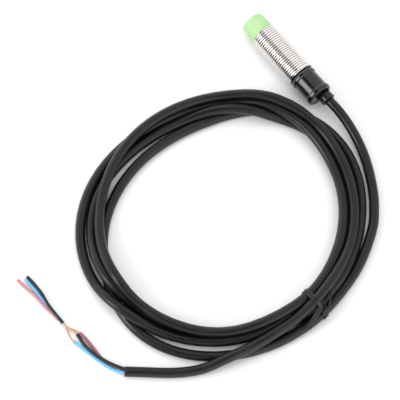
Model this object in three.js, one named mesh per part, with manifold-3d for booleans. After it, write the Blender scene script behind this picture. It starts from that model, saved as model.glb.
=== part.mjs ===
// Cylindrical inductive proximity sensor, M12 x 1, non-flush, with its moulded cable
// lying in a tied coil beside it and the three core ends part stripped.
//
// Millimetres. +X runs along the sensor's axis towards the sensing face, +Z is up and
// z = 0 is the surface that everything lies on. The origin is under the middle of the sensor.

import * as THREE from "three";
import { mergeVertices } from "three/addons/utils/BufferGeometryUtils.js";
import Module from "manifold-3d";

const wasm = await Module();
wasm.setup();

// ---- driving dimensions -------------------------------------------------------------

const GAP = 0.3;                   // clearance between pieces that touch

const THREAD_R = 5.95;             // crest radius of the M12 x 1 thread
const THREAD_ROOT_R = 5.4;
const PITCH = 1.0;
const BARREL_BORE_R = 4.85;
const CAP_R = 5.2;
const CAP_LENGTH = 8.0;
const THREAD_LENGTH = 24.1;
const HOUSING_LENGTH = 12.3;
const FLANGE_R = 5.65;
const BODY_R = 5.2;
const BUSH_LENGTH = 3.7;
const BUSH_OFFSET = -1.4;          // the cable leaves the housing off its centre
const CABLE_R = 2.05;
const CORE_R = 0.65;               // insulated cores of the cable
const COPPER_R = 0.3;

const SENSOR_LENGTH = CAP_LENGTH + THREAD_LENGTH + HOUSING_LENGTH + BUSH_LENGTH;
const X_FACE = SENSOR_LENGTH / 2;
const X_BARREL_FRONT = X_FACE - CAP_LENGTH;
const X_HOUSING = X_BARREL_FRONT - THREAD_LENGTH;
const X_REAR = X_HOUSING - HOUSING_LENGTH;
const X_BUSH_END = X_REAR - BUSH_LENGTH;
const AXIS_Z = THREAD_R;

const ROUND = 24;                  // sides of the large round pieces
const SMALL_ROUND = 16;

// The coil is an egg-shaped ring. A point on it is an angle and a lane, the distance
// outside the ring's inner line in cable diameters. One turn starts where the lead joins.
const CABLE_D = 2 * CABLE_R;
const RING_CENTRE = [-37.7, 64.4];
const RING_START = THREE.MathUtils.degToRad(-137);
const COIL_HEIGHT = 9.0;
const COIL_EDGE = 1.4;
const INNER_LANE = -0.6;
const LEAD_JOINS = { turn: 0, inside: 2.28, outside: 3.35 };
const TAIL_LEAVES = { turn: 0.245, inside: 3.0, outside: 4.0 };
const OUTER_LANES = [              // the coil's outer edge: turn, lane
  [0, LEAD_JOINS.outside], [0.06, 2.8], [0.12, 2.6], [0.17, 2.6], [0.2, 2.75],
  [TAIL_LEAVES.turn, TAIL_LEAVES.outside], [TAIL_LEAVES.turn, TAIL_LEAVES.inside],
  [0.31, 3.0], [0.36, 2.5], [0.42, 2.45], [0.5, 2.95], [0.57, 3.2], [0.64, 2.95],
  [0.7, 2.5], [0.76, 2.0], [0.82, 1.9], [0.87, 2.2], [0.94, 2.4], [1, LEAD_JOINS.inside],
];

const TIE_TURN = 0.105;
const TIE_LANE = 1.03;
const TIE_WIDTH = 2.4;
const TIE_THICK = 0.7;
const TIE_HALF = 6.6;              // half the width inside the tie's loop
const TIE_BOTTOM = 0.8;
const TIE_TOP = 9.1;
const WAIST_REACH = 3;             // how far past the tie the coil is cut to its waist

// Free stretches of the cable, from the bush to the coil and from the coil to the cut end.
const LEAD = [
  [-24.35, -1.4, 5.95], [-29, -1.6, 5.6], [-35, -1.4, 4.6], [-41.5, -0.4, 3.4],
  [-48, 1.3, 2.5], [-54, 3.7, 2.15], [-60, 6.8, 2.1], [-66.1, 10.6, 2.1],
  [-72.2, 15.6, 2.1], [-76.8, 20.3, 2.1], [-79.9, 24.3, 2.1],
];
const TAIL = [
  [-80.1, 108.4, 2.6], [-78.4, 112.0, 2.2], [-76.4, 115.5, 2.1], [-74.2, 118.8, 2.1],
  [-71.7, 122.1, 2.1], [-68.8, 125.5, 2.1], [-64.9, 129.9, 2.1], [-60.5, 134.95, 2.1],
];

const WIRES = {
  blue: [
    [-60.35, 135.5, 1.55], [-58.0, 136.95, 1.05], [-55.1, 138.3, 0.75], [-50.5, 139.7, 0.7],
    [-45.6, 140.9, 0.7], [-40.8, 141.95, 0.7], [-37.5, 142.6, 0.7],
  ],
  black: [
    [-59.6, 134.6, 2.65], [-56.2, 136.4, 2.4], [-52.3, 138.1, 2.15], [-47.8, 139.6, 1.95],
    [-44.4, 140.0, 1.7], [-42.2, 140.15, 1.2], [-40.1, 140.1, 0.8], [-36.4, 139.85, 0.8],
  ],
  brown: [
    [-59.5, 134.35, 1.15], [-56.1, 135.9, 0.85], [-52.8, 137.4, 0.7], [-50.2, 138.2, 0.7],
    [-47.1, 138.25, 0.7], [-43.2, 138.2, 0.7], [-39.3, 138.2, 0.7], [-36.5, 138.45, 0.7],
  ],
};
const CONDUCTORS = {
  blue: [
    [-37.1, 142.65, 0.65], [-34.8, 142.4, 0.45], [-32.6, 141.8, 0.5], [-31.3, 141.4, 0.85],
    [-30.3, 141.25, 1.25],
  ],
  black: [
    [-36.0, 139.8, 0.8], [-34.4, 140.2, 1.35], [-32.4, 140.8, 1.75], [-31.2, 141.2, 2.2],
    [-30.3, 141.45, 2.6],
  ],
  brown: [
    [-36.1, 138.65, 0.7], [-34.4, 139.4, 0.75], [-32.4, 140.35, 0.55], [-31.0, 140.9, 0.4],
    [-29.5, 141.3, 0.35], [-27.7, 141.5, 0.55],
  ],
};
const SLEEVES = {
  blue: [
    [-30.0, 141.25, 1.4], [-27.0, 141.2, 1.95], [-24.0, 141.2, 1.85], [-19.5, 141.25, 1.45],
    [-15.0, 141.4, 0.75], [-10.3, 141.45, 0.7], [-4.9, 141.4, 0.7],
  ],
  black: [
    [-30.0, 141.5, 2.75], [-27.0, 141.6, 3.3], [-24.2, 141.5, 3.2], [-19.4, 141.15, 2.8],
    [-14.0, 140.15, 1.4], [-8.9, 140.1, 1.2], [-4.85, 140.3, 1.45],
  ],
  brown: [
    [-27.4, 141.6, 0.65], [-24.0, 141.95, 0.65], [-19.5, 142.45, 0.7], [-15.5, 142.8, 0.7],
    [-11.9, 143.0, 0.7], [-8.0, 143.6, 0.7], [-3.3, 144.15, 0.7],
  ],
};

// ---- materials ----------------------------------------------------------------------

function finish(color, roughness, metalness = 0) {
  return new THREE.MeshStandardMaterial({ color, roughness, metalness });
}

const capPlastic = finish(0xb9e8a4, 0.55);
const nickel = finish(0xd8d0cc, 0.2, 1);
const blackPlastic = finish(0x1c1c1d, 0.3);
const smokedLens = finish(0x8c8c90, 0.15);
const sealRubber = finish(0x141414, 0.7);
const ferrite = finish(0x3a3a3c, 0.6);
const bobbinPlastic = finish(0xe9e4d4, 0.5);
const copper = finish(0xd58a5c, 0.3, 1);
const boardGreen = finish(0x1f5b36, 0.5);
const chipPlastic = finish(0x222224, 0.5);
const ceramic = finish(0xb99c74, 0.5);
const ledBody = finish(0xf0e8dc, 0.4);
const ferruleSteel = finish(0xb8b8ba, 0.35, 1);
const jacket = finish(0x2a2a2b, 0.5);
const tiePlastic = finish(0x242425, 0.5);
const CORE_COLOURS = {
  blue: finish(0x6ec3f5, 0.45),
  black: finish(0x232324, 0.45),
  brown: finish(0xa8606c, 0.45),
};
const SLEEVE_COLOURS = {
  blue: finish(0x6ec3f5, 0.45),
  black: finish(0x232324, 0.45),
  brown: finish(0xdf949c, 0.45),
};

// ---- helpers ------------------------------------------------------------------------

const sensor = new THREE.Group();

function add(name, geometry, material) {
  const mesh = new THREE.Mesh(geometry, material);
  mesh.name = name;
  sensor.add(mesh);
  return mesh;
}

// A solid of revolution about the sensor's axis. The profile lists [x, radius].
function turned(profile, { sides = ROUND, y = 0 } = {}) {
  const points = profile.map(([x, radius]) => new THREE.Vector2(radius, x));
  const area = points.reduce((sum, p, i) => {
    const q = points[(i + 1) % points.length];
    return sum + p.x * q.y - q.x * p.y;
  }, 0);
  if (area < 0) points.reverse();
  const closed = points[0].x > 0 || points[points.length - 1].x > 0;
  if (closed) points.push(points[0].clone());
  const geometry = new THREE.LatheGeometry(points, sides);
  geometry.rotateZ(-Math.PI / 2);
  geometry.translate(0, y, AXIS_Z);
  return geometry;
}

function box(x, y, z, length, width, height) {
  const geometry = new THREE.BoxGeometry(length, width, height);
  geometry.translate(x, y, z);
  return geometry;
}

function regularSection(radius, sides) {
  const shape = new THREE.Shape();
  for (let i = 0; i < sides; i += 1) {
    const angle = (2 * Math.PI * (i + 0.5)) / sides;
    const [px, py] = [radius * Math.cos(angle), radius * Math.sin(angle)];
    if (i === 0) shape.moveTo(px, py);
    else shape.lineTo(px, py);
  }
  shape.closePath();
  return shape;
}

function tube(points, radius, sides, step) {
  const curve = new THREE.CatmullRomCurve3(points.map((p) => new THREE.Vector3(...p)));
  const steps = Math.max(1, Math.ceil(curve.getLength() / step));
  return new THREE.ExtrudeGeometry(regularSection(radius, sides), { extrudePath: curve, steps });
}

function solid(geometry) {
  const bare = geometry.clone();
  bare.deleteAttribute("normal");
  bare.deleteAttribute("uv");
  const merged = mergeVertices(bare, 1e-4);
  return new wasm.Manifold(new wasm.Mesh({
    numProp: 3,
    vertProperties: new Float32Array(merged.attributes.position.array),
    triVerts: new Uint32Array(merged.index.array),
  }));
}

function fromSolid(manifold) {
  const mesh = manifold.getMesh();
  const geometry = new THREE.BufferGeometry();
  geometry.setAttribute("position", new THREE.BufferAttribute(mesh.vertProperties, 3));
  geometry.setIndex(new THREE.BufferAttribute(mesh.triVerts, 1));
  geometry.computeVertexNormals();
  return geometry;
}

function cut(geometry, ...tools) {
  return fromSolid(tools.reduce((left, tool) => left.subtract(solid(tool)), solid(geometry)));
}

function join(...geometries) {
  return fromSolid(geometries.map(solid).reduce((left, right) => left.add(right)));
}

// ---- sensing end --------------------------------------------------------------------

const CAP_ROUND = 1.4;
const CAP_WALL = 1.25;
const SKIRT_R = 4.5;
const SKIRT_BORE_R = 3.8;
const SKIRT_LENGTH = 4.5;

function sensingCap() {
  const shoulder = X_BARREL_FRONT + GAP;
  const profile = [
    [shoulder - SKIRT_LENGTH, SKIRT_BORE_R],
    [shoulder - SKIRT_LENGTH, SKIRT_R],
    [shoulder, SKIRT_R],
    [shoulder, CAP_R],
  ];
  const arcSteps = 4;
  for (let i = 0; i <= arcSteps; i += 1) {
    const angle = (Math.PI / 2) * (i / arcSteps);
    profile.push([
      X_FACE - CAP_ROUND + CAP_ROUND * Math.sin(angle),
      CAP_R - CAP_ROUND + CAP_ROUND * Math.cos(angle),
    ]);
  }
  profile.push([X_FACE, 0], [X_FACE - CAP_WALL, 0], [X_FACE - CAP_WALL, SKIRT_BORE_R]);
  return lathedOnAxis(profile);
}

// A profile that reaches the axis twice is listed from one axis point to the other.
function lathedOnAxis(profile, options) {
  const first = profile.findIndex(([, radius]) => radius === 0);
  const onAxis = profile[(first + 1) % profile.length][1] === 0;
  const start = onAxis ? first + 1 : first;
  return turned([...profile.slice(start), ...profile.slice(0, start)], options);
}

const CORE_OUTER_R = 3.5;
const CORE_WALL = 0.6;
const POST_R = 1.2;
const CORE_BACK = 0.8;
const CORE_FRONT_X = X_FACE - CAP_WALL - GAP;
const CORE_LENGTH = 3.1;

function ferriteCore() {
  const back = CORE_FRONT_X - CORE_LENGTH;
  const floor = back + CORE_BACK;
  const groove = CORE_OUTER_R - CORE_WALL;
  const profile = [
    [back, 0], [back, CORE_OUTER_R], [CORE_FRONT_X, CORE_OUTER_R], [CORE_FRONT_X, groove],
    [floor, groove], [floor, POST_R], [CORE_FRONT_X, POST_R], [CORE_FRONT_X, 0],
  ];
  return turned(profile, { sides: SMALL_ROUND });
}

const BOBBIN_WALL = 0.3;
const BOBBIN_R = POST_R + GAP;
const BOBBIN_FLANGE_R = CORE_OUTER_R - CORE_WALL - GAP;
const BOBBIN_BACK_X = CORE_FRONT_X - CORE_LENGTH + CORE_BACK + GAP;
const BOBBIN_FRONT_X = CORE_FRONT_X - 0.1;

function coilBobbin() {
  const [back, front] = [BOBBIN_BACK_X, BOBBIN_FRONT_X];
  const barrel = BOBBIN_R + BOBBIN_WALL;
  const profile = [
    [back, BOBBIN_R], [back, BOBBIN_FLANGE_R], [back + BOBBIN_WALL, BOBBIN_FLANGE_R],
    [back + BOBBIN_WALL, barrel], [front - BOBBIN_WALL, barrel],
    [front - BOBBIN_WALL, BOBBIN_FLANGE_R], [front, BOBBIN_FLANGE_R], [front, BOBBIN_R],
  ];
  return turned(profile, { sides: SMALL_ROUND });
}

function senseWinding() {
  const back = BOBBIN_BACK_X + BOBBIN_WALL + GAP;
  const front = BOBBIN_FRONT_X - BOBBIN_WALL - GAP;
  const inside = BOBBIN_R + BOBBIN_WALL + GAP;
  const profile = [
    [back, inside], [back, BOBBIN_FLANGE_R], [front, BOBBIN_FLANGE_R], [front, inside],
  ];
  return turned(profile, { sides: SMALL_ROUND });
}

// ---- threaded barrel ----------------------------------------------------------------

const BARREL_CHAMFER = 0.5;

function threadedBarrel() {
  const back = X_HOUSING + GAP;
  const front = X_BARREL_FRONT;
  const profile = [[back, BARREL_BORE_R], [back, THREAD_ROOT_R]];
  const crests = Math.floor((front - back - 2 * BARREL_CHAMFER) / PITCH);
  for (let i = 0; i < crests; i += 1) {
    const root = back + BARREL_CHAMFER + i * PITCH;
    profile.push([root + PITCH / 2, THREAD_R]);
    profile.push([root + PITCH, THREAD_ROOT_R]);
  }
  profile.push([front, THREAD_ROOT_R], [front, BARREL_BORE_R]);
  return turned(profile);
}

// ---- rear housing, seal, bush and indicator -----------------------------------------

const SPIGOT_R = 4.5;
const SPIGOT_BORE_R = 3.4;
const SPIGOT_LENGTH = 4.0;
const GROOVE_FLOOR_R = 3.95;
const GROOVE_NEAR = 1.2;
const GROOVE_FAR = 2.8;
const SEAL_R = 4.4;
const SEAL_SECTION_R = 0.28;
const CAVITY_R = 4.4;
const CAVITY_START = 1.6;
const REAR_WALL = 1.35;
const BUSH_HOLE_R = 3.0;
const BUSH_NECK_R = 2.7;
const BUSH_LIP_R = 3.08;
const BUSH_BODY_R = 2.85;
const BUSH_GROOVE_R = 2.6;
const BUSH_BORE_R = CABLE_R + GAP;
const BUSH_INNER_X = X_REAR + REAR_WALL + 2.6;
const WINDOW_Y = 3.1;
const WINDOW_R = 0.75;
const WINDOW_LENGTH = 5.6;

// The housing's outside, as [distance behind its front edge, radius].
const HOUSING_OUTSIDE = [
  [0, 5.05], [1.25, 5.5], [1.6, FLANGE_R], [2.2, FLANGE_R], [2.55, 5.5], [2.8, BODY_R],
  [9.8, BODY_R], [10.2, 5.5], [10.5, FLANGE_R], [11.5, FLANGE_R], [12.05, 5.45],
  [HOUSING_LENGTH, 5.1],
];

function rearHousing() {
  const spigotFront = X_HOUSING + SPIGOT_LENGTH;
  const profile = [
    [spigotFront, SPIGOT_BORE_R], [spigotFront, SPIGOT_R],
    [X_HOUSING + GROOVE_FAR, SPIGOT_R], [X_HOUSING + GROOVE_FAR, GROOVE_FLOOR_R],
    [X_HOUSING + GROOVE_NEAR, GROOVE_FLOOR_R], [X_HOUSING + GROOVE_NEAR, SPIGOT_R],
    [X_HOUSING, SPIGOT_R],
  ];
  HOUSING_OUTSIDE.forEach(([behind, radius]) => profile.push([X_HOUSING - behind, radius]));
  profile.push(
    [X_REAR, 0], [X_REAR + REAR_WALL, 0], [X_REAR + REAR_WALL, CAVITY_R],
    [X_HOUSING - CAVITY_START, CAVITY_R], [X_HOUSING - CAVITY_START, SPIGOT_BORE_R],
  );
  const bushHole = turned(
    [[X_REAR - 1, 0], [X_REAR - 1, BUSH_HOLE_R], [X_REAR + 3, BUSH_HOLE_R], [X_REAR + 3, 0]],
    { sides: SMALL_ROUND, y: BUSH_OFFSET },
  );
  const windowHoleR = WINDOW_R + GAP;
  const windowHole = turned(
    [[X_REAR - 1, 0], [X_REAR - 1, windowHoleR], [X_REAR + 3, windowHoleR], [X_REAR + 3, 0]],
    { sides: SMALL_ROUND, y: WINDOW_Y },
  );
  return cut(lathedOnAxis(profile), bushHole, windowHole);
}

function housingSeal() {
  const centre = X_HOUSING + (GROOVE_NEAR + GROOVE_FAR) / 2;
  const geometry = new THREE.TorusGeometry(SEAL_R, SEAL_SECTION_R, 6, ROUND);
  geometry.rotateY(Math.PI / 2);
  geometry.translate(centre, 0, AXIS_Z);
  return geometry;
}

function cableBush() {
  const front = BUSH_INNER_X;
  const outside = X_REAR - GAP;
  const end = X_BUSH_END;
  const profile = [
    [front, BUSH_BORE_R], [front, BUSH_NECK_R], [outside, BUSH_NECK_R],
    [outside, BUSH_BODY_R], [end + 1.5, BUSH_BODY_R], [end + 1.3, BUSH_GROOVE_R],
    [end + 1.0, BUSH_GROOVE_R], [end + 0.8, BUSH_LIP_R], [end + 0.2, BUSH_LIP_R],
    [end, BUSH_BODY_R], [end, BUSH_BORE_R],
  ];
  return turned(profile, { y: BUSH_OFFSET });
}

function indicatorWindow() {
  const front = X_REAR + WINDOW_LENGTH;
  const profile = [[X_REAR + 0.1, 0], [X_REAR + 0.1, WINDOW_R], [front, WINDOW_R], [front, 0]];
  return turned(profile, { sides: 12, y: WINDOW_Y });
}

const FERRULE_WALL = 0.45;
const FERRULE_LENGTH = 2.0;
const FERRULE_BACK_X = BUSH_INNER_X + GAP;
const SHEATH_FRONT_X = FERRULE_BACK_X + FERRULE_LENGTH + 0.8;

function clampFerrule() {
  const [back, front] = [FERRULE_BACK_X, FERRULE_BACK_X + FERRULE_LENGTH];
  const outside = BUSH_BORE_R + FERRULE_WALL;
  const profile = [
    [back, BUSH_BORE_R], [back, outside], [front, outside], [front, BUSH_BORE_R],
  ];
  return turned(profile, { sides: SMALL_ROUND, y: BUSH_OFFSET });
}

function cableInsideBush() {
  const profile = [
    [X_BUSH_END, 0], [X_BUSH_END, CABLE_R], [SHEATH_FRONT_X, CABLE_R], [SHEATH_FRONT_X, 0],
  ];
  return turned(profile, { sides: SMALL_ROUND, y: BUSH_OFFSET });
}

// ---- circuit board ------------------------------------------------------------------

const BOARD_BACK_X = SHEATH_FRONT_X + 1.6;
const BOARD_FRONT_X = CORE_FRONT_X - CORE_LENGTH - 1.0;
const BOARD_WIDTH = 6.4;
const BOARD_THICK = 0.8;
const MOUNT_GAP = 0.15;

function circuitBoard() {
  const middle = (BOARD_BACK_X + BOARD_FRONT_X) / 2;
  return box(middle, 0, AXIS_Z, BOARD_FRONT_X - BOARD_BACK_X, BOARD_WIDTH, BOARD_THICK);
}

// Parts soldered on the board: where along it, across it, then length, width and height.
const BOARD_PARTS = {
  oscillator_ic: [8.2, 0, 5.0, 4.0, 1.4, chipPlastic],
  tuning_capacitor: [13.0, 0.9, 2.0, 1.25, 0.9, ceramic],
  filter_capacitor: [3.4, 1.2, 3.2, 1.6, 1.2, ceramic],
  trim_resistor: [3.4, -1.4, 2.0, 1.25, 0.6, chipPlastic],
  output_transistor: [-0.6, 0.9, 2.9, 1.6, 1.1, chipPlastic],
  load_resistor: [-0.6, -1.6, 2.0, 1.25, 0.6, chipPlastic],
  surge_suppressor: [-5.6, 0, 3.0, 1.8, 1.1, chipPlastic],
  indicator_led: [-11.6, 2.3, 1.6, 1.2, 0.9, ledBody],
};

function boardPart([x, y, length, width, height]) {
  const base = AXIS_Z + BOARD_THICK / 2 + MOUNT_GAP;
  return box(x, y, base + height / 2, length, width, height);
}

const INNER_CORE_R = 0.5;
const INNER_CORE_SPACING = 1.35;
const INNER_LAP = 2.4;             // how far each inner lead lies on the board

// Each lead leaves the sheath's end, steps up on to the board and lies flat on its pad.
function innerLead(index) {
  const y = BUSH_OFFSET + (index - 1) * INNER_CORE_SPACING;
  const top = AXIS_Z + BOARD_THICK / 2 + MOUNT_GAP + INNER_CORE_R;
  const route = [
    [SHEATH_FRONT_X + GAP, y, AXIS_Z], [SHEATH_FRONT_X + 0.9, y, AXIS_Z + 0.3],
    [BOARD_BACK_X + 0.4, y, top], [BOARD_BACK_X + INNER_LAP, y, top],
  ];
  return tube(route, INNER_CORE_R, 6, 0.8);
}

// ---- the coil and its tie -----------------------------------------------------------

function ringRadius(angle) {
  return 47.5 - 3.2 * Math.cos(2 * angle) - 1.3 * Math.cos(3 * angle) + 0.4 * Math.sin(3 * angle);
}

function ringAngle(turn) {
  return RING_START - 2 * Math.PI * turn;
}

function ringPoint(turn, lane) {
  const angle = ringAngle(turn);
  const radius = ringRadius(angle) + lane * CABLE_D;
  return new THREE.Vector2(
    RING_CENTRE[0] + radius * Math.cos(angle),
    RING_CENTRE[1] + radius * Math.sin(angle),
  );
}

function ringOutline(lanes) {
  const points = [];
  const turnStep = 1 / 40;
  for (let i = 0; i + 1 < lanes.length; i += 1) {
    const [turn, lane] = lanes[i];
    const [nextTurn, nextLane] = lanes[i + 1];
    const pieces = Math.max(1, Math.round((nextTurn - turn) / turnStep));
    for (let k = 0; k < pieces; k += 1) {
      const t = k / pieces;
      const here = turn + (nextTurn - turn) * t;
      points.push(ringPoint(here, lane + (nextLane - lane) * t));
    }
  }
  const [lastTurn, lastLane] = lanes[lanes.length - 1];
  if (lastLane !== lanes[0][1]) points.push(ringPoint(lastTurn, lastLane));
  return points.reverse();
}

// The closed outer shape of the coiled turns lying on one another.
function cableCoil() {
  const outer = new THREE.Shape(ringOutline(OUTER_LANES));
  outer.holes.push(new THREE.Path(ringOutline([[0, INNER_LANE], [1, INNER_LANE]])));
  const geometry = new THREE.ExtrudeGeometry(outer, {
    depth: COIL_HEIGHT - 2 * COIL_EDGE,
    bevelThickness: COIL_EDGE,
    bevelSize: COIL_EDGE,
    bevelOffset: -COIL_EDGE,
    bevelSegments: 2,
  });
  geometry.translate(0, 0, COIL_EDGE);
  const waist = tieLoop(
    TIE_HALF + WAIST_REACH, TIE_HALF - GAP, -1, TIE_TOP + 1, GAP, TIE_WIDTH + 2 * GAP,
  );
  return cut(geometry, waist);
}

// Moves a shape drawn across the coil, x outwards and y up, to the tie's place.
function placeAtTie(geometry) {
  const angle = ringAngle(TIE_TURN);
  const middle = ringPoint(TIE_TURN, TIE_LANE);
  const outwards = new THREE.Vector3(Math.cos(angle), Math.sin(angle), 0);
  const up = new THREE.Vector3(0, 0, 1);
  const along = new THREE.Vector3().crossVectors(outwards, up);
  const matrix = new THREE.Matrix4().makeBasis(outwards, up, along);
  matrix.setPosition(middle.x, middle.y, 0);
  return geometry.applyMatrix4(matrix);
}

function roundedBox(half, low, high, corner) {
  const shape = new THREE.Shape();
  shape.moveTo(-half + corner, low);
  shape.lineTo(half - corner, low);
  shape.quadraticCurveTo(half, low, half, low + corner);
  shape.lineTo(half, high - corner);
  shape.quadraticCurveTo(half, high, half - corner, high);
  shape.lineTo(-half + corner, high);
  shape.quadraticCurveTo(-half, high, -half, high - corner);
  shape.lineTo(-half, low + corner);
  shape.quadraticCurveTo(-half, low, -half + corner, low);
  return shape;
}

function tieLoop(outerHalf, innerHalf, low, high, inset, width) {
  const shape = roundedBox(outerHalf, low, high, 2.2);
  shape.holes.push(roundedBox(innerHalf, TIE_BOTTOM + inset, TIE_TOP - inset, 1.8));
  const geometry = new THREE.ExtrudeGeometry(shape, {
    depth: width, bevelEnabled: false, curveSegments: 3,
  });
  geometry.translate(0, 0, -width / 2);
  return placeAtTie(geometry);
}

// The knot sits on the loop's outer shoulder. The wide tail lies along the bundle one way,
// and the thin one, the wire bent back on itself, the other way.
const KNOT_R = 0.9;
const KNOT_LENGTH = 3.0;
const KNOT_UP = 6.4;
const TAIL_THICK = 0.5;
const WIDE_TAIL = { width: 2.2, length: 9, up: 5.6 };
const THIN_TAIL = { width: 1.6, length: 7, up: 7.4 };

function tieTail({ width, length, up }, direction) {
  const tail = new THREE.BoxGeometry(TAIL_THICK, width, length);
  tail.translate(TIE_HALF + TIE_THICK, up, (direction * length) / 2);
  return placeAtTie(tail);
}

function twistTie() {
  const outside = TIE_HALF + TIE_THICK;
  const low = TIE_BOTTOM - TIE_THICK;
  const high = TIE_TOP + TIE_THICK;
  const loop = tieLoop(outside, TIE_HALF, low, high, 0, TIE_WIDTH);
  const knot = new THREE.CylinderGeometry(KNOT_R, KNOT_R, KNOT_LENGTH, 8);
  knot.translate(outside, KNOT_UP, 0);
  return join(loop, placeAtTie(knot), tieTail(WIDE_TAIL, 1), tieTail(THIN_TAIL, -1));
}

// ---- assembly -----------------------------------------------------------------------

add("sensing_cap", sensingCap(), capPlastic);
add("ferrite_core", ferriteCore(), ferrite);
add("coil_bobbin", coilBobbin(), bobbinPlastic);
add("sense_winding", senseWinding(), copper);
add("threaded_barrel", threadedBarrel(), nickel);
add("rear_housing", rearHousing(), blackPlastic);
add("housing_seal", housingSeal(), sealRubber);
add("cable_bush", cableBush(), blackPlastic);
add("indicator_window", indicatorWindow(), smokedLens);
add("clamp_ferrule", clampFerrule(), ferruleSteel);
add("cable_inner_end", cableInsideBush(), jacket);
add("circuit_board", circuitBoard(), boardGreen);
for (const [name, part] of Object.entries(BOARD_PARTS)) {
  add(name, boardPart(part), part[part.length - 1]);
}
["black", "blue", "brown"].forEach((colour, index) => {
  add(`inner_lead_${colour}`, innerLead(index), CORE_COLOURS[colour]);
});

add("cable_lead", tube(LEAD, CABLE_R, 10, 5), jacket);
add("cable_coil", cableCoil(), jacket);
add("cable_tail", tube(TAIL, CABLE_R, 10, 5), jacket);
add("twist_tie", twistTie(), tiePlastic);
for (const colour of ["blue", "black", "brown"]) {
  add(`wire_${colour}`, tube(WIRES[colour], CORE_R, 8, 2.6), CORE_COLOURS[colour]);
  add(`conductor_${colour}`, tube(CONDUCTORS[colour], COPPER_R, 8, 1.5), copper);
  add(`sleeve_${colour}`, tube(SLEEVES[colour], CORE_R, 8, 2.6), SLEEVE_COLOURS[colour]);
}

export default sensor;
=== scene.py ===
"""Cylindrical proximity sensor with its moulded cable lying in a tied coil.

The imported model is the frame. Lengths in this file are in millimetres until they reach
Blender, which takes metres.
"""

import math

import bmesh
import bpy
import numpy as np
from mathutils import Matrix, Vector


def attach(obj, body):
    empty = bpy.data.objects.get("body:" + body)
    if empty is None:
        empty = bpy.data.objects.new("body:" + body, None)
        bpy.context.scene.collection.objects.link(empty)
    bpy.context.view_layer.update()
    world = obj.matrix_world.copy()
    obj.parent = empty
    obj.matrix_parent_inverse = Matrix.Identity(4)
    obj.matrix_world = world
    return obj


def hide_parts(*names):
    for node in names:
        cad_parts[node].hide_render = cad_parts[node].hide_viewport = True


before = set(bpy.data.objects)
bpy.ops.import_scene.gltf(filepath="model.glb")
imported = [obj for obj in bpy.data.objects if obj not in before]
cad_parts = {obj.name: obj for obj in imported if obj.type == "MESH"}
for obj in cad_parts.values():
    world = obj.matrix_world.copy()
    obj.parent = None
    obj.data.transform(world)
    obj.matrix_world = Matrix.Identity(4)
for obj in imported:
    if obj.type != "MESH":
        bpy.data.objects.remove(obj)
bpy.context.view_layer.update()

MM = 0.001
scene = bpy.context.scene


# ---- camera, light and floor ---------------------------------------------------------

def aim(obj, target, location):
    obj.location = location
    direction = Vector(target) - Vector(location)
    obj.rotation_mode = "QUATERNION"
    obj.rotation_quaternion = direction.to_track_quat("-Z", "Y")


CAMERA_AZIMUTH = math.radians(230.705)
CAMERA_ELEVATION = math.radians(68.5)
CAMERA_TARGET = Vector((-23.62, 66.65, 3.0)) * MM
CAMERA_DISTANCE = 0.8
CAMERA_FIELD = math.radians(11.54)

camera_data = bpy.data.cameras.new("camera")
camera_data.sensor_fit = "HORIZONTAL"
camera_data.sensor_width = 36
camera_data.lens = 18 / math.tan(CAMERA_FIELD / 2)
camera_data.clip_start = 0.01
camera_data.clip_end = 10
camera = bpy.data.objects.new("camera", camera_data)
scene.collection.objects.link(camera)
back = Vector((
    math.sin(CAMERA_AZIMUTH) * math.cos(CAMERA_ELEVATION),
    -math.cos(CAMERA_AZIMUTH) * math.cos(CAMERA_ELEVATION),
    math.sin(CAMERA_ELEVATION),
))
aim(camera, CAMERA_TARGET, CAMERA_TARGET + back * CAMERA_DISTANCE)
scene.camera = camera


# ---- the cable's route ---------------------------------------------------------------

CABLE_R = 2.05
CABLE_D = 2 * CABLE_R
RING_CENTRE = np.array([-37.7, 64.4])
RING_START = math.radians(-137)
TIE_TURN = 0.105
TIE_LIFT = 0.75
BUSH_END_X = -24.05
BUSH_OFFSET = -1.4
AXIS_Z = 5.95
THREAD_R = 5.95
THREAD_ROOT_R = 5.56

LEAD = [
    (-24.05, -1.4, 5.95), (-25.8, -1.45, 5.93), (-29, -1.6, 5.6), (-35, -1.4, 4.6),
    (-41.5, -0.4, 3.4), (-48, 1.3, 2.5), (-54, 3.7, 2.15), (-60, 6.8, 2.05),
    (-66.1, 10.6, 2.05), (-72.2, 15.6, 2.05), (-76.8, 20.3, 2.05),
]

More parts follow.
